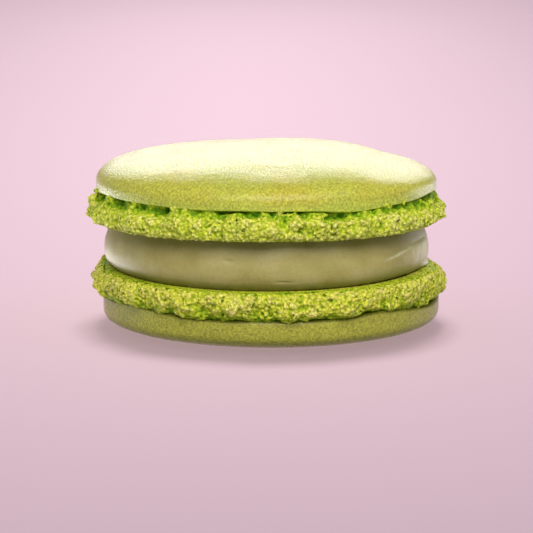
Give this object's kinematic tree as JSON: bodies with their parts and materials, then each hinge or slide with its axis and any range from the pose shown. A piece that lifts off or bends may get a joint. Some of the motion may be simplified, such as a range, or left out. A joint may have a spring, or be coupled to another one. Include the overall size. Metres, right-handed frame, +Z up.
{
  "type": "macaron",
  "caption": "Round macaron: two smooth domed meringue shells with ruffled feet, held together by a thick soft filling, lying flat on its lower shell.",
  "frame": {"origin": "middle of the flat spot that the macaron rests on, under the lower shell", "axes": "+Z up along the macaron's own axis; -Y towards the front, where the shells stand a little further apart"},
  "size_m": [0.0481, 0.0477, 0.024],
  "materials": {
    "meringue": "dry baked almond meringue, satin smooth on the caps and spongy on the feet, yellow green",
    "cream": "smooth soft cream, khaki green"
  },
  "bodies": {
    "root": {"upper_shell": "meringue", "filling": "cream", "lower_shell": "meringue"}
  },
  "joints": []
}
